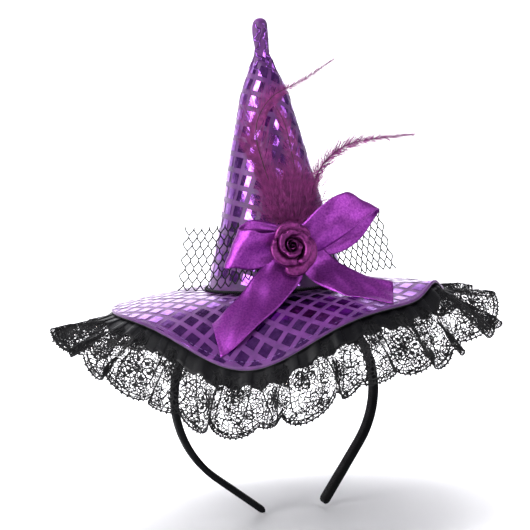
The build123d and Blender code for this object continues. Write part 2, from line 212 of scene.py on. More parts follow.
class Strands:
    """Collects many thin tubes or blades into one mesh."""

    def __init__(self):
        self.points = []
        self.faces = []

    def tube(self, line, radius, sides=4, normals=None, flat=1.0, closed=False):
        line = np.asarray(line, float)
        count = len(line)
        if closed:
            along = np.roll(line, -1, 0) - np.roll(line, 1, 0)
        else:
            along = np.gradient(line, axis=0)
        along /= np.maximum(np.linalg.norm(along, axis=1), 1e-9)[:, None]
        up = np.tile([0.0, 0.0, 1.0], (count, 1)) if normals is None else np.asarray(normals, float)
        side = np.cross(along, up)
        side /= np.maximum(np.linalg.norm(side, axis=1), 1e-6)[:, None]
        top = np.cross(side, along)
        radii = np.full(count, radius) if np.isscalar(radius) else np.asarray(radius)
        start = len(self.points)
        for k in range(count):
            for s in range(sides):
                turn = 2 * pi * (s + 0.5) / sides
                step = side[k] * cos(turn) + top[k] * sin(turn) * flat
                self.points.append(line[k] + step * radii[k])
        for k in range(count if closed else count - 1):
            for s in range(sides):
                a = start + k * sides + s
                b = start + k * sides + (s + 1) % sides
                c = start + ((k + 1) % count) * sides + (s + 1) % sides
                d = start + ((k + 1) % count) * sides + s
                self.faces.append((a, b, c, d))
        if not closed:
            self.faces.append(tuple(range(start + sides - 1, start - 1, -1)))
            last = start + (count - 1) * sides
            self.faces.append(tuple(range(last, last + sides)))

    def blade(self, line, widths, across):
        """A flat tapered strip along `line`, spread along `across`."""
        start = len(self.points)
        for p, w in zip(line, widths):
            self.points.append(np.asarray(p) - np.asarray(across) * w)
            self.points.append(np.asarray(p) + np.asarray(across) * w)
        for k in range(len(line) - 1):
            a = start + 2 * k
            self.faces.append((a, a + 1, a + 3, a + 2))

    def patch(self, ring):
        """A small filled shape: a fan round the middle of its outline."""
        start = len(self.points)
        ring = [np.asarray(p, float) for p in ring]
        self.points.append(sum(ring) / len(ring))
        self.points.extend(ring)
        for k in range(len(ring)):
            self.faces.append((start, start + 1 + k, start + 1 + (k + 1) % len(ring)))

    def make(self, name, material, body="hat", smooth=True):
        return make_object(name, self.points, self.faces, material, body, smooth)


# ---- materials ----
def shader_of(mat):
    return mat.node_tree.nodes["Principled BSDF"]


def material(name, colour, roughness, metallic=0.0, specular=0.5, sheen=0.0, coat=0.0):
    """A Principled material."""
    mat = bpy.data.materials.new(name)
    mat.use_nodes = True
    shader = shader_of(mat)
    shader.inputs["Base Color"].default_value = (*colour, 1)
    shader.inputs["Roughness"].default_value = roughness
    shader.inputs["Metallic"].default_value = metallic
    shader.inputs["Specular IOR Level"].default_value = specular
    shader.inputs["Sheen Weight"].default_value = sheen
    shader.inputs["Coat Weight"].default_value = coat
    shader.inputs["IOR"].default_value = 1.5
    return mat


def node(mat, kind, **values):
    made = mat.node_tree.nodes.new(kind)
    for key, value in values.items():
        if key in made.inputs:
            made.inputs[key].default_value = value
        else:
            setattr(made, key, value)
    return made


def link(mat, source, output, target, entry):
    mat.node_tree.links.new(source.outputs[output], target.inputs[entry])


def calc(mat, operation, first, second=None):
    """A Math node fed by sockets or plain numbers."""
    made = node(mat, "ShaderNodeMath", operation=operation)
    for entry, value in enumerate((first, second)):
        if value is None:
            continue
        if isinstance(value, (int, float)):
            made.inputs[entry].default_value = value
        else:
            mat.node_tree.links.new(value, made.inputs[entry])
    return made.outputs[0]


def coordinates(mat):
    """Object coordinates in millimetres."""
    mapping = node(mat, "ShaderNodeMapping")
    mapping.inputs["Scale"].default_value = [1 / MM] * 3
    link(mat, node(mat, "ShaderNodeTexCoord"), "Object", mapping, "Vector")
    return mapping


def mottle(mat, mapping, scale, dark, light):
    """Colour that wanders between two shades."""
    noise = node(mat, "ShaderNodeTexNoise", Scale=scale, Detail=3.0)
    ramp = node(mat, "ShaderNodeValToRGB")
    ramp.color_ramp.elements[0].position = 0.3
    ramp.color_ramp.elements[1].position = 0.7
    ramp.color_ramp.elements[0].color = (*dark, 1)
    ramp.color_ramp.elements[1].color = (*light, 1)
    link(mat, mapping, "Vector", noise, "Vector")
    link(mat, noise, "Fac", ramp, "Fac")
    link(mat, ramp, "Color", shader_of(mat), "Base Color")


def weave(mat, mapping, pitch, depth, grain=0.0):
    """Crossed threads `pitch` apart as bump, with some uneven grain."""
    bands = []
    for direction in ("X", "Y"):
        wave = node(mat, "ShaderNodeTexWave", bands_direction=direction, Distortion=0.6)
        wave.inputs["Scale"].default_value = 0.314 / pitch
        link(mat, mapping, "Vector", wave, "Vector")
        bands.append(wave.outputs["Fac"])
    height = calc(mat, "ADD", *bands)
    if grain:
        noise = node(mat, "ShaderNodeTexNoise", Scale=grain, Detail=4.0)
        link(mat, mapping, "Vector", noise, "Vector")
        height = calc(mat, "ADD", height, noise.outputs["Fac"])
    bump = node(mat, "ShaderNodeBump", Strength=0.35, Distance=depth * MM)
    mat.node_tree.links.new(height, bump.inputs["Height"])
    link(mat, bump, "Normal", shader_of(mat), "Normal")


def uneven_gloss(mat, mapping, scale, low, high):
    """Roughness that wanders between two values."""
    noise = node(mat, "ShaderNodeTexNoise", Scale=scale, Detail=2.0)
    spread = node(mat, "ShaderNodeMapRange")
    spread.inputs["To Min"].default_value = low
    spread.inputs["To Max"].default_value = high
    link(mat, mapping, "Vector", noise, "Vector")
    link(mat, noise, "Fac", spread, "Value")
    link(mat, spread, "Result", shader_of(mat), "Roughness")


def cloth(
    name, dark, light, roughness, pitch, depth, scale=0.12, sheen=0.2, specular=0.5, grain=0.0
):
    """Mottled woven cloth: `pitch` and `depth` of its threads in millimetres."""
    mat = material(name, light, roughness, sheen=sheen, specular=specular)
    mapping = coordinates(mat)
    mottle(mat, mapping, scale, dark, light)
    weave(mat, mapping, pitch, depth, grain)
    uneven_gloss(mat, mapping, scale * 2, roughness * 0.85, roughness * 1.2)
    return mat


def black_thread(name, depth):
    dark, light = (0.002, 0.002, 0.003), (0.008, 0.008, 0.009)
    return cloth(name, dark, light, 0.6, 0.2, depth, sheen=0.0, specular=0.2)


violet_cloth = cloth(
    "violet_cloth", (0.06, 0.008, 0.095), (0.125, 0.022, 0.175),
    roughness=0.38, pitch=0.3, depth=0.08, sheen=0.05, specular=0.35, grain=1.2,
)
foil = material("violet_foil", (0.24, 0.06, 0.42), 0.14, metallic=1.0)
foil_map = coordinates(foil)
mottle(foil, foil_map, 0.35, (0.14, 0.03, 0.26), (0.34, 0.12, 0.50))
uneven_gloss(foil, foil_map, 0.9, 0.08, 0.24)
stitch_thread = cloth("stitch_thread", (0.10, 0.03, 0.20), (0.18, 0.06, 0.32), 0.55, 0.15, 0.05)
black_satin = cloth(
    "black_satin", (0.001, 0.001, 0.002), (0.003, 0.003, 0.004),
    roughness=0.42, pitch=0.2, depth=0.03, sheen=0.0, specular=0.16,
)
lining_cloth = cloth(
    "lining_cloth", (0.004, 0.004, 0.005), (0.010, 0.010, 0.011),
    roughness=0.8, pitch=0.45, depth=0.1, sheen=0.0, specular=0.15, grain=2.0,
)
lace_thread = black_thread("lace_thread", 0.08)
net_thread = black_thread("net_thread", 0.05)
velvet = cloth(
    "velvet", (0.002, 0.002, 0.003), (0.007, 0.007, 0.008),
    roughness=0.9, pitch=0.25, depth=0.12, sheen=0.06, specular=0.1, grain=3.0,
)
shader_of(velvet).inputs["Sheen Roughness"].default_value = 0.35
cord_thread = cloth(
    "cord_thread", (0.003, 0.003, 0.004), (0.012, 0.012, 0.013),
    roughness=0.6, pitch=0.4, depth=0.2, sheen=0.0, specular=0.2,
)
purple_satin = cloth(
    "purple_satin", (0.17, 0.018, 0.22), (0.33, 0.055, 0.40),
    roughness=0.32, pitch=0.22, depth=0.05, scale=0.9, sheen=0.0, specular=0.4, grain=1.5,
)
plum_satin = cloth(
    "plum_satin", (0.08, 0.008, 0.068), (0.22, 0.03, 0.18),
    roughness=0.33, pitch=0.22, depth=0.04, scale=0.7, sheen=0.0, specular=0.4, grain=1.0,
)
for satin in (purple_satin, plum_satin):
    shader_of(satin).inputs["Metallic"].default_value = 0.8
plume = cloth(
    "plume", (0.12, 0.008, 0.09), (0.31, 0.035, 0.22),
    roughness=0.55, pitch=0.3, depth=0.05, scale=0.3, sheen=0.1, specular=0.25,
)
quill = cloth(
    "quill", (0.02, 0.002, 0.01), (0.055, 0.005, 0.028),
    roughness=0.4, pitch=0.5, depth=0.05, sheen=0.0, specular=0.3,
)
board_card = cloth("board_card", (0.05, 0.04, 0.06), (0.09, 0.07, 0.1), 0.8, 0.8, 0.1, grain=1.5)
spring_strip = cloth("spring_strip", (0.01, 0.01, 0.01), (0.03, 0.03, 0.03), 0.4, 1.0, 0.05)
hot_glue = material("hot_glue", (0.6, 0.56, 0.46), 0.3, coat=0.3)
mottle(hot_glue, coordinates(hot_glue), 0.4, (0.5, 0.46, 0.36), (0.66, 0.62, 0.52))


def honeycomb(mat, half_thread):
    """Cuts a sheet to a hexagonal net, whose cells are one UV unit wide and high."""
    split = node(mat, "ShaderNodeSeparateXYZ")
    link(mat, node(mat, "ShaderNodeTexCoord"), "UV", split, "Vector")
    across, up = split.outputs[0], split.outputs[1]
    part = calc(mat, "MINIMUM", calc(mat, "MULTIPLY", calc(mat, "FRACT", up), 1.6), 1.0)
    shift = calc(mat, "MULTIPLY", calc(mat, "ADD", calc(mat, "FLOOR", up), part), 0.5)
    near = []
    for way in ("ADD", "SUBTRACT"):
        share = calc(mat, "FRACT", calc(mat, way, across, shift))
        near.append(calc(mat, "PINGPONG", share, 0.5))
    cut = calc(mat, "LESS_THAN", calc(mat, "MINIMUM", *near), half_thread)
    mat.node_tree.links.new(cut, shader_of(mat).inputs["Alpha"])


def lace_mesh(mat):
    """Cuts a sheet, with UV in millimetres, to an uneven mesh with closer-worked patches."""
    coords = node(mat, "ShaderNodeTexCoord")
    wander = node(mat, "ShaderNodeTexNoise", Scale=0.28, Detail=1.0)
    link(mat, coords, "UV", wander, "Vector")
    push = node(mat, "ShaderNodeVectorMath", operation="SCALE")
    push.inputs["Scale"].default_value = 3.2
    link(mat, wander, "Color", push, 0)
    bent = node(mat, "ShaderNodeVectorMath", operation="ADD")
    link(mat, coords, "UV", bent, 0)
    link(mat, push, "Vector", bent, 1)
    cuts = []
    for size, half_thread in ((2.5, 0.115), (1.5, 0.16)):
        cells = node(mat, "ShaderNodeTexVoronoi", feature="DISTANCE_TO_EDGE", Randomness=1.0)
        cells.inputs["Scale"].default_value = 1 / size
        cells.voronoi_dimensions = "2D"
        link(mat, bent, "Vector", cells, "Vector")
        cuts.append(calc(mat, "LESS_THAN", cells.outputs["Distance"], half_thread))
    patches = node(mat, "ShaderNodeTexNoise", Scale=0.11, Detail=1.0)
    link(mat, coords, "UV", patches, "Vector")
    worked = calc(mat, "GREATER_THAN", patches.outputs["Fac"], 0.45)
    alpha = calc(mat, "MAXIMUM", cuts[0], calc(mat, "MULTIPLY", cuts[1], worked))
    mat.node_tree.links.new(alpha, shader_of(mat).inputs["Alpha"])


lace_net = black_thread("lace_net", 0.06)
lace_mesh(lace_net)
veil_net = black_thread("veil_net", 0.05)
honeycomb(veil_net, 0.05)


def recolour(cad_node, mat):
    """Gives a CAD node that stays in view its material."""
    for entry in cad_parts[cad_node].material_slots:
        entry.material = mat


# ---- headband ----
def band_line(side):
    """Centre line of half the band, from over the head to one tip, in x and z."""
    tip_x, tip_z = BAND_TIPS[side]
    stop = atan2(tip_z, tip_x) + side * acos(BAND_RADIUS / hypot(tip_x, tip_z))
    if side < 0:
        stop += 2 * pi
    span = side * (pi / 2 - stop)
    steps = ceil(BAND_RADIUS * span)
    line = []
    for k in range(steps + 1):
        t = pi / 2 - side * span * k / steps
        rise = BAND_RISE if sin(t) > 0 else BAND_RADIUS
        line.append((BAND_RADIUS * cos(t), rise * sin(t)))
    last_x, last_z = line[-1]
    steps = ceil(hypot(tip_x - last_x, tip_z - last_z))
    for k in range(1, steps + 1):
        f = k / steps
        line.append((last_x + (tip_x - last_x) * f, last_z + (tip_z - last_z) * f))
    return np.array(line)


def sleeve(side):
    """Velvet sleeve over half of the band, with a rounded closed end."""
    line = band_line(side)
    along = np.gradient(line, axis=0)
    along /= np.linalg.norm(along, axis=1)[:, None]
    count = 20
    points = []
    half_t, half_w = BAND_THICK / 2, BAND_WIDTH / 2
    length = len(line)
    for k, ((x, z), (ax, az)) in enumerate(zip(line, along)):
        from_end = length - 1 - k
        close = sqrt(max(0.0, 1 - (max(0.0, 3.0 - from_end) / 3.05) ** 2))
        for s in range(count):
            turn = 2 * pi * s / count
            c, n = cos(turn), sin(turn)
            wide = half_w * (0.72 + 0.28 * close) * np.sign(c) * abs(c) ** 0.45
            thick = half_t * close * np.sign(n) * abs(n) ** 0.75
            points.append((x - az * thick, wide, z + ax * thick))
    faces = grid_faces(length, count, closed=True)
    faces.append(tuple(range((length - 1) * count, length * count)))
    name = "velvet_sleeve_left" if side < 0 else "velvet_sleeve_right"
    return make_object(name, points, faces, velvet, body=None)


for side, leg in ((-1, "left_leg"), (1, "right_leg")):
    piece = sleeve(side)
    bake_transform(piece)
    covers = [f"headband_cover_{leg}"]
    if side > 0:
        covers.append("headband_cover_arch")
    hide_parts(*covers)
    recolour(f"headband_core_{leg}", spring_strip)
recolour("headband_core_arch", spring_strip)
recolour("headband_glue", hot_glue)
recolour("brim_board", board_card)
recolour("brim_lining", lining_cloth)
recolour("crown_stiffener", violet_cloth)   # the cloth's colour shows through at the tip


# ---- brim ----
def brim_cover():
    """Violet cloth over the brim, turned under at the edge."""
    columns = 240
    turns = [2 * pi * j / columns for j in range(columns)]
    radii = np.linspace(36, BRIM_RADIUS - 0.6, 40)
    points = [on_brim(r, turn, 0.05) for r in radii for turn in turns]
    for r, z in ((BRIM_RADIUS, -0.15), (BRIM_RADIUS + 0.15, -0.9), (BRIM_RADIUS - 0.2, -1.7)):
        for turn in turns:
            edge = brim_height(BRIM_RADIUS * cos(turn), BRIM_RADIUS * sin(turn))
            points.append(on_hat(r * cos(turn), r * sin(turn), edge + z))
    faces = grid_faces(len(radii) + 3, columns, closed=True)
    return make_object("brim_cloth", points, faces, violet_cloth)


brim = brim_cover()
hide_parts("brim_cover")


def foil_patch(strands, middle, half, place, normal_lift, tilt=0.12):
    """One foil square laid on cloth: 3 by 3 points, placed by `place(u, v, lift)`."""
    lean_u, lean_v = draw.uniform(-tilt, tilt), draw.uniform(-tilt, tilt)
    start = len(strands.points)
    for i in (-1, 0, 1):
        for j in (-1, 0, 1):
            lift = normal_lift + lean_u * i + lean_v * j
            found = place(middle[0] + i * half, middle[1] + j * half, max(0.08, lift))
            if found is None:
                del strands.points[start:]
                return
            strands.points.append(found)
    for i in (0, 1):
        for j in (0, 1):
            a = start + 3 * i + j
            strands.faces.append((a, a + 3, a + 4, a + 1))


def brim_spot(u, v, lift):
    """Foil on the brim, held between the cone's edging and the hem."""
    turn = radians(32)
    x, y = u * cos(turn) - v * sin(turn), u * sin(turn) + v * cos(turn)
    r = hypot(x, y)
    if r < CONE_RADIUS - 3 or r > BRIM_RADIUS + 8.0:
        return None
    if r > BRIM_RADIUS - 0.4:
        x, y = x * (BRIM_RADIUS - 0.4) / r, y * (BRIM_RADIUS - 0.4) / r
    return np.array(on_hat(x, y, brim_height(x, y) + 0.05 + lift))


def cone_surface(z, turn):
    """Crown radius with its soft dents and the twisted tip."""
    r = cone_radius_at(z)
    dent = 0.35 * sin(3 * turn + z * 0.05) + 0.25 * sin(5 * turn - z * 0.11 + 1.3)
    r += dent * min(1.0, z / 30) * min(1.0, max(0.0, (150 - z) / 60))
    flat = min(1.0, max(0.0, (z - 132) / 12))
    r *= 1 + 0.09 * flat * cos(2 * turn - 0.6) + 0.04 * flat * cos(3 * turn + 0.35 * z)
    twist = exp(-(((z - 138) / 13) ** 2))
    r += twist * (0.5 * cos(4 * turn + 0.16 * z) + 0.2 * cos(7 * turn - 0.1 * z))
    return max(0.02, r)


def on_crown(z, turn, lift=0.0):
    """A point on the crown's cloth, or `lift` off it."""
    r = cone_surface(z, turn) + lift
    return on_hat(r * cos(turn), r * sin(turn), z)


def cone_spot(u, v, lift):
    """Foil on the crown: u, v are measured on the flat cloth it was cut from."""
    turn = radians(25)
    u, v = u * cos(turn) - v * sin(turn), u * sin(turn) + v * cos(turn)
    slant = hypot(u, v)
    roll = atan2(u, v) / sin(HALF_ANGLE)
    if abs(roll) > pi - 0.03 or slant > SLANT_BASE - 1.0 or slant < SLANT_NECK:
        return None
    x, y, z = on_crown((SLANT_BASE - slant) * cos(HALF_ANGLE), roll - pi / 2, lift)
    return np.array([x, y, z + 0.1])


def squares(name, place, reach):
    """Rows of foil squares over one piece of cloth."""
    strands = Strands()
    steps = ceil(reach / FOIL_PITCH)
    for i in range(-steps, steps + 1):
        for j in range(-steps, steps + 1):
            middle = (i * FOIL_PITCH, j * FOIL_PITCH)
            foil_patch(strands, middle, FOIL_SQUARE / 2, place, 0.22)
    strands.make(name, foil, smooth=False)


squares("foil_squares_brim", brim_spot, BRIM_RADIUS + 10)
squares("foil_squares_crown", cone_spot, SLANT_BASE)


def hem_stitches():
    """A row of machine stitches inside the brim's edge."""
    strands = Strands()
    count = 206
    for k in range(count):
        line = []
        for f in (-0.34, -0.2, 0.0, 0.2, 0.34):
            lift = 0.22 if abs(f) < 0.3 else 0.05
            line.append(on_brim(BRIM_RADIUS - HEM_INSET, 2 * pi * (k + f) / count, lift))
        strands.tube(line, 0.15, sides=5)
    strands.make("hem_stitches", stitch_thread)


hem_stitches()


# ---- crown ----
def crown_cloth():
    """Violet cloth over the stiffener, closed over the tip."""
    columns = 128
    heights = [*np.linspace(0.1, 110, 50), *np.linspace(112, CONE_HEIGHT - 1, 50)]
    heights += [CONE_HEIGHT + up for up in (-0.5, 0, 0.3, 0.5, 0.62, 0.69)]
    points = [on_crown(z, 2 * pi * j / columns) for z in heights for j in range(columns)]
    faces = grid_faces(len(heights), columns, closed=True)
    faces.append(tuple(range((len(heights) - 1) * columns, len(heights) * columns)))
    piece = make_object("crown_cloth", points, faces, violet_cloth)
    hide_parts("crown_cover")


def crown_ridge(strands, heights, turn_at, lift, radius, flat=1.0):
    """A raised line up the crown, at `turn_at(z)` round it."""
    turns = [turn_at(z) for z in heights]
    line = [on_crown(z, turn, lift) for z, turn in zip(heights, turns)]
    normals = [(cos(turn), sin(turn), 0) for turn in turns]
    strands.tube(line, radius, sides=6, normals=normals, flat=flat)


def crown_seam():
    """The seam up the back, which twists with the tip."""
    seam = Strands()
    crown_ridge(
        seam, np.linspace(0.5, 156, 150), lambda z: pi / 2 + max(0.0, z - 118) * 0.09,
        lift=0.15, radius=0.55, flat=0.6,
    )
    seam.make("crown_seam", violet_cloth)


def tip_creases():
    """Crumpled foil along the folds of the tip."""
    creases = Strands()
    for middle, swing in ((-1.2, 0.22), (-2.3, 0.3), (0.6, 0.25)):
        crown_ridge(
            creases, np.linspace(127, 157, 90),
            lambda z: middle + swing * sin(0.75 * z) + 0.1 * sin(1.9 * z),
            lift=0.1, radius=0.45,
        )
    creases.make("tip_creases", foil)


crown_cloth()
crown_seam()
tip_creases()


def crown_edging():
    """Two-ply twisted cord round the cone's foot."""
    strands = Strands()
    around = 2 * pi * (CONE_RADIUS + 1.1)
    for ply in (0, pi):
        line = []
        for k in range(720):
            turn = 2 * pi * k / 720
            spin = turn * round(around / 3.2) + ply
            r = CONE_RADIUS + 1.1 + 0.5 * cos(spin)
            line.append(on_hat(r * cos(turn), r * sin(turn), 1.1 + 0.5 * sin(spin)))
        strands.tube(line, 0.55, sides=6, closed=True)
    piece = strands.make("crown_edging_cord", cord_thread)
    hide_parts("crown_edging")


crown_edging()


# ---- satin trim ----
def satin_trim():
    """Satin folded into knife pleats, sewn under the brim's edge."""
    pleats, per = 50, 14
    columns = pleats * per
    outs = np.linspace(-TRIM_SEWN, TRIM_OUTSIDE, 12)
    points = []
    for out in outs:
        for j in range(columns + 1):
            share = j / columns
            phase = (share * pleats) % 1.0
            turn = radians(89.5 + 361 * share + 1.1 * sin(phase * 2 * pi))
            fold = max(0.0, (out + 8) / 17)
            saw = 1 - phase if phase > 0.12 else phase / 0.12
            wobble = 0.5 * sin(3.1 * share * pleats + 1) * fold
            drop = 0.6 + (3.3 * (1 - saw) + wobble) * fold
            length = out + (0.7 * sin(share * pleats * 2.3) if out > 4 else 0)
            points.append(under_edge(turn, length, drop))
    piece = make_object("pleated_satin", points, grid_faces(len(outs), columns + 1), black_satin)
    thicken(piece, 0.35, -1.0)
    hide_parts("satin_trim")


satin_trim()


# ---- lace ----
FOLDS = 25
LACE_LENGTH = 1060.0
SCALLOPS = 37
SCALLOP_PITCH = LACE_LENGTH / SCALLOPS


def lace_spot(along, out, lift=0.0):
    """A point of the lace: `along` and `out` in millimetres on the flat strip."""
    share = along / LACE_LENGTH
    turn = radians(89 + 362 * share)
    fold = max(0.0, min(1.0, (out + 2) / 30))
    phase = 2 * pi * FOLDS * share + 1.1 * sin(7 * share * pi) + 0.4
    second = sin(2 * pi * 9 * share + 2.0)
    hang = radians(hang_angle(degrees(turn)))
    spot = under_edge(turn + 0.042 * cos(phase) * fold, out, 2.8)
    raise_by = (4.8 * sin(phase) + 2.2 * second) * fold + lift + 1.2 * share
    return spot + np.array([sin(hang) * cos(turn), sin(hang) * sin(turn), cos(hang)]) * raise_by


def lace_line(flat, lift=0.2):
    return [lace_spot(a, o, lift) for a, o in flat]


def scallop(along):
    """How far the lace's edge reaches."""
    return LACE_WIDTH - 7.5 + 7.0 * abs(sin(pi * along / SCALLOP_PITCH)) ** 0.65


def lace_ground():
    columns, rows = 500, 18
    points, uv = [], []
    for i in range(rows):
        for j in range(columns + 1):
            along = LACE_LENGTH * j / columns
            out = -LACE_SEWN + (scallop(along) + LACE_SEWN) * i / (rows - 1)
            points.append(lace_spot(along, out))
            uv.append((along, out))
    return make_object("lace_net_ground", points, grid_faces(rows, columns + 1), lace_net, uv=uv)


def curl(centre, start, sweep, radius, shrink, count):
    """A line wound round `centre`, closer in as `shrink` says."""
    found = []
    for k in range(count):
        f = k / (count - 1)
        turn, r = start + sweep * f, radius * (1 - shrink * f)
        found.append((centre[0] + r * cos(turn), centre[1] + r * sin(turn)))
    return found


def ring(centre, radius, count):
    """A closed ring, without its last point."""
    return curl(centre, 0, 2 * pi, radius, 0, count + 1)[:-1]


def petal_ring(centre, turn, near, far, width, count=12):
    """Outline of a petal that points away from `centre`."""
    found = []
    for k in range(count):
        t = 2 * pi * k / count
        along = (near + far) / 2 - (far - near) / 2 * cos(t)
        across = width / 2 * sin(t) * (0.75 + 0.35 * (along - near) / (far - near))
        x = centre[0] + along * cos(turn) - across * sin(turn)
        found.append((x, centre[1] + along * sin(turn) + across * cos(turn)))
    return found


def lace_motifs():
    """Flowers, leaves and scrolls worked in heavier thread, and the double scalloped edge."""
    cords = Strands()
    fills = Strands()

    def closed_cord(flat, radius):
        cords.tube(lace_line(flat), radius, closed=True, flat=0.7)

    def cord(flat, radius):
        cords.tube(lace_line(flat), radius, flat=0.7)

    for k in range(SCALLOPS):
        middle = (k + 0.5) * SCALLOP_PITCH
        big = k % 2 == 0
        flower = (middle, 21.0 if big else 12.5)
        petals = 6 if big else 5
        size = 8.6 if big else 6.2
        spin = draw.uniform(0, 2)
        for p in range(petals):
            turn = spin + 2 * pi * p / petals
            outline = petal_ring(flower, turn, 1.9, size, size * 0.72)
            closed_cord(outline, 0.5)
            inner = petal_ring(flower, turn, 3.4, size * 0.8, size * 0.3, 8)
            fills.patch(lace_line(inner, 0.15))
        closed_cord(ring(flower, 1.5, 9), 0.4)
        fills.patch(lace_line(ring(flower, 1.1, 8), 0.1))
        for way in (-1, 1):
            reach = way * SCALLOP_PITCH
            stem = []
            for s in range(13):
                f = s / 12
                stem.append((middle + reach * (0.12 + 0.36 * f), 31 - 26 * f + 5 * sin(f * 6)))
            cord(stem, 0.45)
            for s in (2, 5, 8, 11):
                tilt = draw.uniform(-0.5, 0.5) + (0.7 if way > 0 else 2.4)
                closed_cord(petal_ring(stem[s], tilt, 0.3, 5.2, 2.4, 9), 0.45)
            cord(curl((middle + reach * 0.33, 6.0), 1.2, way * 7.0, 4.4, 0.8, 16), 0.42)
        for _ in range(5):
            centre = (middle + draw.uniform(-0.5, 0.5) * SCALLOP_PITCH, draw.uniform(0, 31))
            start, way, size = draw.uniform(0, 6), draw.choice((-1, 1)), draw.uniform(2.2, 4.2)
            cord(curl(centre, start, way * 5.5, size, 0.7, 13), 0.4)

    for inset, radius in ((0.4, 0.62), (2.9, 0.55)):
        flat = [(a, scallop(a) - inset) for a in np.linspace(0, LACE_LENGTH, 900)]
        cord(flat, radius)
    for a in np.arange(1.0, LACE_LENGTH, 2.3):
        edge = scallop(a)
        cord([(a, edge - 2.9), (a + 0.3, edge - 1.6), (a, edge - 0.4)], 0.33)
        fills.patch(lace_line(ring((a, edge + 0.35), 0.5, 6), 0.15))
    for out, radius in ((-6.0, 0.4), (1.5, 0.35)):
        cord([(a, out + 0.8 * sin(a * 0.9)) for a in np.linspace(0, LACE_LENGTH, 700)], radius)
    return cords.make("lace_cords", lace_thread), fills.make("lace_motifs", lace_thread)


ground = lace_ground()
lace_cords, lace_fills = lace_motifs()
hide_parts("lace_ruffle")


# ---- veil ----
VEIL_LENGTH = 145.0
VEIL_HEIGHT = 38.0
VEIL_CELL = (3.9, 4.8)


def veil_spot(across, up):
    """A point of the net behind the bow: across from -1 to 1, up from 0 to 1."""
    pinch = 0.35 + 0.65 * min(1.0, abs(across) * 1.5) ** 0.8
    z = 24 + (up - 0.5) * 36 * pinch + 1.2 * sin(across * 9)
    turn = radians(-90 + 68 * across)
    r = cone_radius_at(z) + 1.2 + 31 * across**2 + 0.8 * sin(across * 21) * (1 - pinch * 0.6)
    return np.array(on_hat(r * cos(turn), r * sin(turn), z))


def net_veil():
    """Round threads over a sheet cut to the same net."""
    strands = Strands()
    rows = round(VEIL_HEIGHT / VEIL_CELL[1])
    columns = round(VEIL_LENGTH / VEIL_CELL[0])
    for way in (-1, 1):
        for k in range(-rows, columns + rows + 1):
            line = []
            for s in range(rows * 4 + 1):
                f = s / 4
                straight = (f % 1.0) if f % 1.0 < 0.5 else 1 - f % 1.0
                col = k + way * (floor(f) * 0.5 + min(1.0, (f % 1.0) * 1.6) * 0.5)
                across = 2 * col / columns - 1
                if abs(across) <= 1.0:
                    spot = veil_spot(across, min(1.0, f / rows))
                    line.append(spot + np.array([0, 0, 0.1 * straight]))
                elif line:
                    break
            if len(line) > 2:
                strands.tube(line, 0.4, sides=5)
    threads = strands.make("net_veil_threads", net_thread)
    points, uv = [], []
    wide, high = 120, 24
    for i in range(high + 1):
        for j in range(wide + 1):
            points.append(veil_spot(2 * j / wide - 1, i / high))
            uv.append((j / wide * columns, i / high * rows))
    ground = make_object("net_veil_ground", points, grid_faces(high + 1, wide + 1), veil_net, uv=uv)
    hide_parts("net_veil")


net_veil()


# ---- ribbons ----
def ribbon(name, stations, cad_node, count=60, wrinkle=0.5, crown=0.6, lies=False):
    """A satin ribbon through its stations; one that `lies` stays above the brim."""
    middles = spline([s[0] for s in stations], count)
    halves = spline([s[1] for s in stations], count)
    across = 17
    points = []
    for k in range(count):
        ahead = middles[min(k + 1, count - 1)] - middles[max(k - 1, 0)]
        normal = np.cross(ahead, halves[k])
        normal /= max(np.linalg.norm(normal), 1e-6)
        near_tie = exp(-((k / count) / 0.18) ** 2)
        for j in range(across):
            v = 2 * j / (across - 1) - 1
            puff = crown * (1 - v * v) + wrinkle * near_tie * sin(v * 9 + k * 0.05)
            puff += 0.45 * sin(2.6 * v + 9.0 * k / count)
            puff += 0.25 * sin(5.5 * v - 17.0 * k / count + 1.0)
            puff += 0.8 * (1 - cos(4 * pi * k / count))
            edge = 0.12 if abs(v) > 0.93 else 0.0
            p = middles[k] + halves[k] * v + normal * (puff + edge)
            if lies:
                p[2] = max(p[2], brim_height(p[0], p[1]) + 0.7)
            points.append(on_hat(*p))
    piece = make_object(name, points, grid_faces(count, across), purple_satin)
    thicken(piece, 0.3)
    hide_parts(cad_node)
    return piece


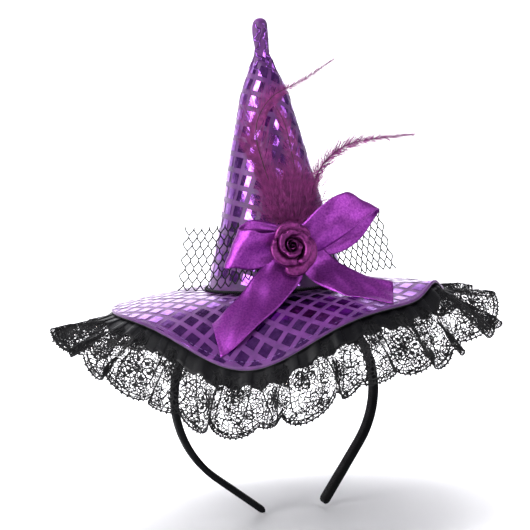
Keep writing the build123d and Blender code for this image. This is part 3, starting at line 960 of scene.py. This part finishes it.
def build_bow():
    """The bow: tie, two loops and two tails, each with its (middle, half width) stations."""
    wrap = []
    columns, rows = 40, 15
    for i in range(rows):
        v = 2 * i / (rows - 1) - 1
        for j in range(columns):
            turn = 2 * pi * j / columns
            z = BOW_HEIGHT + 10.4 * np.sign(sin(turn)) * abs(sin(turn)) ** 0.8
            y = -45.5 - 4.6 * np.sign(cos(turn)) * abs(cos(turn)) ** 0.6 - 0.35 * sin(7 * v)
            wrap.append(on_hat(6.0 * v, y, z))
    tie = make_object("bow_tie_wrap", wrap, grid_faces(rows, columns, closed=True), purple_satin)
    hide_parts("bow_tie")
    ribbon(
        "ribbon_loop_right",
        [
            ((2, -42.5, 28), (3.5, 0, -7.5)),
            ((20, -42.0, 29.5), (5.5, 0.3, -9.5)),
            ((32.5, -41.5, 34.5), (7.6, 0.5, -8.4)),
            ((40.8, -43.0, 44.0), (8.9, 0.5, -6.4)),
            ((42.3, -47.0, 49.3), (9.6, 0.5, -5.4)),
            ((38.0, -50.5, 49.3), (9.0, 0.5, -6.3)),
            ((28, -52.5, 45.0), (7.6, 0, -8.2)),
            ((18, -52.0, 38.5), (5.8, 0, -9.2)),
            ((8, -50.0, 31.5), (4.2, 0, -8.5)),
            ((1, -49.0, 28.5), (3, 0, -7.0)),
        ],
        "bow_loop_right",
        count=90,
    )
    ribbon(
        "ribbon_loop_left",
        [
            ((-2, -42.5, 29), (-1, 0, -8)),
            ((-16, -41.5, 31), (-2.5, 0, -10.5)),
            ((-29, -41.5, 33), (-4.5, 0, -10.8)),
            ((-37.5, -43.5, 30.5), (-4.5, 0.3, -10.8)),
            ((-38.5, -47.5, 28.5), (-4.8, 0.3, -10.8)),
            ((-33.5, -52.5, 28.5), (-6.0, 1.6, -10.6)),
            ((-25, -52.0, 25.5), (-3.0, 2.6, -10.6)),
            ((-13, -51.5, 27.0), (-1.5, 2.0, -9.3)),
            ((-2, -49.0, 28.5), (0, 0, -7.5)),
        ],
        "bow_loop_left",
        count=90,
        wrinkle=1.2,
    )
    ribbon(
        "ribbon_tail_left",
        [
            ((-3, -49.0, 24), (6.5, 0, -6)),
            ((-11, -50.8, 12), (10, -3, -4.8)),
            ((-22, -57, 3.5), (7.5, -6.5, -6)),
            ((-33.5, -62.5, -5), (4.5, -8.5, -6.4)),
            ((-46, -67, -14), (1.5, -9.8, -7.8)),
            ((-56.5, -69.3, -19.7), (-0.6, -10, -8.2)),
        ],
        "bow_tail_left",
        wrinkle=0.4,
        crown=0.4,
        lies=True,
    )
    ribbon(
        "ribbon_tail_right",
        [
            ((3, -49.0, 23), (-3.5, 0, -8)),
            ((12, -51, 15), (-4.8, -3, -8.5)),
            ((22, -59.5, 7.0), (-4.6, -7.0, -7.0)),
            ((33, -70, 2.2), (-4.2, -8.0, -6.2)),
            ((44.5, -81.5, -1.6), (-3.4, -8.6, -5.6)),
        ],
        "bow_tail_right",
        wrinkle=0.4,
        crown=0.4,
        lies=True,
    )


build_bow()


# ---- rose ----
ROSE = np.array([-5.2, -51.2, 26.4])
rose_out = np.array([-0.10, -0.97, 0.20])
rose_out /= np.linalg.norm(rose_out)
rose_right = np.cross(rose_out, [0, 0, 1.0])
rose_right /= np.linalg.norm(rose_right)
rose_up = np.cross(rose_right, rose_out)


def rose_spot(turn, r, out):
    right, up = 0.93 * r * cos(turn), 1.05 * r * sin(turn)
    return on_hat(*(ROSE + rose_right * right + rose_up * up + rose_out * out))


def rose_petal(name, turn, span, foot, rim, height, lip, cad_node):
    """A wrapped petal: an upright wall that opens into a broad lip, rolled back at its edge."""
    rows, columns = 22, 32
    points = []
    for i in range(rows):
        v = i / (rows - 1)
        for j in range(columns):
            u = 2 * j / (columns - 1) - 1
            full = sqrt(max(0.0, 1 - abs(u) ** 2.4))
            wall = min(1.0, v / 0.4)
            lay_out = max(0.0, v - 0.4) / 0.6
            spiral = 2.0 * u + 0.7 * cos(2.3 * u + 2 * turn)
            crease = (1 - abs(sin(2.9 * u + 1.7 * turn))) ** 3 * v
            r = foot + (rim - foot) * wall**1.4 + spiral
            r += lip * (0.15 + 0.85 * full) * sin(min(lay_out, 0.86) * pi / 1.72)
            r += 0.3 * sin(5 * u + turn) * v - 1.1 * crease
            out = height * (0.66 + 0.34 * full) * wall**0.7 - 0.35 * lip * lay_out**2
            out += 0.9 * sin(lay_out * pi) * full - 2.0 * max(0.0, lay_out - 0.7) / 0.3
            out += 1.7 * u + 0.9 * sin(3 * turn) - 1.4 * crease
            points.append(rose_spot(turn + u * span / 2, r, max(0.2, out)))
    piece = make_object(name, points, grid_faces(rows, columns), plum_satin)
    thicken(piece, 0.3)
    smooth = piece.modifiers.new("smooth", "SUBSURF")
    smooth.levels = smooth.render_levels = 1
    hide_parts(cad_node)


def build_rose():
    """A rolled heart and six wrapped petals on the felt backing."""
    points = []
    rows, columns = 12, 110
    for i in range(rows):
        v = i / (rows - 1)
        for j in range(columns):
            f = j / (columns - 1)
            turn = f * 2 * pi * 2.6
            r = 0.5 + 3.9 * f + 0.5 * v * sin(turn * 2.5) * f
            points.append(rose_spot(turn, r, 11.2 * v * (0.88 + 0.12 * sin(turn * 1.5 + 1))))
    roll = make_object("rose_roll", points, grid_faces(rows, columns), plum_satin)
    thicken(roll, 0.3)
    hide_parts("rose_heart")
    for k in range(6):
        share = k / 5
        rose_petal(
            f"rose_petal_{k + 1}_satin",
            turn=radians(250 + 137.5 * k),
            span=radians(200 - 45 * share),
            foot=3.0 + 2.6 * share,
            rim=4.2 + 6.0 * share,
            height=11.6 - 5.4 * share,
            lip=2.6 + 3.6 * share,
            cad_node=f"rose_petal_{k + 1}",
        )
    recolour("rose_backing", plum_satin)


build_rose()


# ---- feathers ----
def feather(name, stations, widths, cad_node, density=3.4, fuzz=0.3, thin=0.085, sweep=1.3):
    """A quill with tapered barbs on both sides, in a curved plane before the cone."""
    count = 90
    stem = spline([on_hat(*s) for s in stations], count)
    quills, barbs = Strands(), Strands()
    quills.tube(stem, np.linspace(0.42, 0.1, count), sides=6)
    lengths = np.concatenate([[0], np.cumsum(np.linalg.norm(np.diff(stem, axis=0), axis=1))])
    total = lengths[-1]
    facing = np.array([0.0, -1.0, 0.15])

    def spot_at(distance):
        return np.array([np.interp(min(total, distance), lengths, stem[:, c]) for c in range(3)])

    for side in (-1, 1):
        clump = 0.0
        for k in range(int(total * density)):
            at = (k + draw.random()) / (total * density)
            if k % 9 == 0:
                clump = draw.uniform(-0.16, 0.2)
            spot = spot_at(at * total)
            ahead = spot_at(at * total + 1.5) - spot_at(at * total - 1.5)
            ahead /= np.linalg.norm(ahead)
            across = np.cross(ahead, facing) * side
            across /= np.linalg.norm(across)
            reach = float(np.interp(at, np.linspace(0, 1, len(widths)), widths))
            reach *= draw.uniform(0.7, 1.1)
            wander = np.array([draw.gauss(0, fuzz) for _ in range(3)])
            lie = sweep + clump
            line = []
            for s in range(4):
                f = s / 3
                way = across * f + ahead * lie * (f + 0.35 * f * f)
                line.append(spot + way * reach + wander * f * f * 1.6)
            blade_across = np.cross(line[-1] - line[0], facing)
            blade_across /= max(np.linalg.norm(blade_across), 1e-6)
            barbs.blade(line, [thin * 1.5, thin * 1.3, thin, thin * 0.3], blade_across)
    vane = barbs.make(f"{name}_barbs", plume)
    rib = quills.make(f"{name}_quill", quill)
    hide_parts(cad_node)


feather(
    "plume_tall",
    [
        (-2, -38, 42), (-9, -37, 58), (-13.5, -36, 74), (-16.5, -35, 90), (-14, -34, 102),
        (-5, -33, 113), (8, -33, 119), (17, -33, 123), (34, -34, 133),
    ],
    [3, 7, 9, 11, 11, 10, 6, 2.8, 2.0, 1.5, 0.8], "feather_tall", density=2.3,
)
feather(
    "plume_middle",
    [(7, -38, 42), (6, -37, 60), (4, -36, 79), (1, -34, 98), (-6.5, -33, 113)],
    [2, 5, 6, 5, 3.5, 0.8], "feather_middle", density=2.3,
)
feather(
    "plume_left",
    [(-5, -38, 42), (-13, -36, 66), (-17, -34, 80), (-19, -33, 92), (-16, -32, 103)],
    [2, 3, 4, 4, 3, 0.6], "feather_left", density=2.6,
)
feather(
    "plume_wisp",
    [(-7, -38, 44), (-14, -36, 64), (-20, -35, 78), (-26, -34, 90)],
    [1, 3, 4, 3, 1], "feather_wisp", density=2.0, fuzz=0.5,
)
feather(
    "plume_right",
    [
        (8, -40, 42), (12, -40, 52), (15, -40, 61), (19, -40, 69.5),
        (27, -40, 77.5), (38, -40, 83), (53, -40, 85), (79, -40, 86),
    ],
    [2, 4, 5, 4.5, 3, 2, 0.8], "feather_right", density=3.2, fuzz=0.6,
)


def fluff():
    """Marabou down at the foot of the feathers."""
    barbs = Strands()
    for k in range(2200):
        root = np.array([draw.gauss(0, 6.5), -40.0 + draw.gauss(0, 1.2), 38 + draw.uniform(0, 20)])
        lean = draw.gauss(0, 0.34) + 0.022 * root[0]
        rise = draw.uniform(9, 26) * (1 - 0.45 * min(1.0, abs(lean)))
        front = draw.uniform(-0.10, 0.16)
        line = []
        for s in range(5):
            f = s / 4
            x = root[0] + rise * sin(lean) * f * (1 + 0.4 * f) + 0.9 * sin(f * 5 + k)
            y = root[1] - rise * front * sin(f * pi * 0.6) - 0.3 * sin(f * 4 + k)
            z = root[2] + rise * cos(lean) * f - 2.2 * abs(sin(lean)) * f * f * 3
            line.append(on_hat(x, y, z))
        line = np.array(line)
        along = line[-1] - line[0]
        across = np.cross(along, [draw.uniform(-0.5, 0.5), -1, 0])
        across /= np.linalg.norm(across)
        barbs.blade(line, [0.12, 0.11, 0.09, 0.06, 0.02], across)
    piece = barbs.make("feather_down", plume)
    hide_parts("feather_fluff")


fluff()


# ---- floor, lights and camera ----
def studio():
    """A pale floor that curves up into a backdrop, softboxes and an even sky, in metres."""
    floor_z = cad_box[0][2] - 0.001
    pale = material("studio_white", (0.86, 0.86, 0.88), 0.6)
    mottle(pale, coordinates(pale), 0.002, (0.84, 0.84, 0.86), (0.88, 0.88, 0.9))
    size = 3.0
    depth = 1.6
    points = []
    profile = [(-size, 0.0), (depth - 0.6, 0.0)]
    for k in range(1, 13):
        turn = pi / 2 * k / 12
        profile.append((depth - 0.6 + 0.6 * sin(turn), 0.6 - 0.6 * cos(turn)))
    profile.append((depth, 2.6))
    for y, z in profile:
        points.append((-size / MM, y / MM, (floor_z + z) / MM))
        points.append((size / MM, y / MM, (floor_z + z) / MM))
    sweep = make_object("studio_sweep", points, grid_faces(len(profile), 2), pale, body=None)

    def softbox(name, place, aim, size_x, size_y, power, glossy=True, diffuse=True):
        lamp = bpy.data.lights.new(name, "AREA")
        lamp.shape = "RECTANGLE"
        lamp.size = size_x
        lamp.size_y = size_y
        lamp.energy = power
        holder = bpy.data.objects.new(name, lamp)
        holder.location = place
        aim_way = Vector(aim) - Vector(place)
        holder.rotation_euler = aim_way.to_track_quat("-Z", "Y").to_euler()
        holder.visible_glossy = glossy
        holder.visible_diffuse = diffuse
        bpy.context.scene.collection.objects.link(holder)

    middle = (0.0, 0.0, 0.08)
    softbox("key_left", (-1.05, -0.42, 0.55), middle, 0.42, 1.4, 26, diffuse=False)
    softbox("left_wash", (-1.05, -0.42, 0.55), middle, 0.4, 1.0, 9, glossy=False)
    softbox("front_strip", (0.32, -1.25, 0.60), middle, 0.2, 0.7, 5.5, diffuse=False)
    softbox("front_left", (-0.75, -1.2, 0.95), middle, 0.5, 0.5, 8, glossy=False)
    softbox("top", (0.0, 0.1, 1.3), middle, 1.2, 1.0, 16, glossy=False)
    softbox("fill_right", (1.1, -0.5, 0.5), middle, 0.5, 0.8, 3.5)
    softbox("back_wash", (0.0, 0.7, 1.5), (0, 1.6, 0.4), 2.4, 0.6, 60, glossy=False)
    world = bpy.data.worlds.new("studio_world")
    world.use_nodes = True
    sky = world.node_tree.nodes["Background"]
    sky.inputs["Color"].default_value = (0.62, 0.60, 0.68, 1)
    sky.inputs["Strength"].default_value = 0.34
    bpy.context.scene.world = world


studio()
bpy.context.scene.view_settings.view_transform = "Standard"


def camera():
    """Seen from the front left and a little above, with the hat leaning a few degrees."""
    azimuth, elevation, roll = radians(-15.7), radians(10), radians(3.7)
    distance = 0.95
    flat = cos(elevation)
    eye = Vector((sin(azimuth) * flat, -cos(azimuth) * flat, sin(elevation))) * distance
    aim = Vector((0.0023, 0.0134, 0.0766))
    back = (eye - aim).normalized()
    level = Vector((0, 0, 1)).cross(back).normalized()
    upright = back.cross(level)
    right = level * cos(roll) - upright * sin(roll)
    up = level * sin(roll) + upright * cos(roll)
    data = bpy.data.cameras.new("photo_camera")
    data.lens = 105.8
    data.sensor_width = 36
    data.clip_end = 20
    holder = bpy.data.objects.new("photo_camera", data)
    turned = Matrix((right, up, back)).transposed().to_4x4()
    holder.matrix_world = Matrix.Translation(eye) @ turned
    bpy.context.scene.collection.objects.link(holder)
    bpy.context.scene.camera = holder


camera()
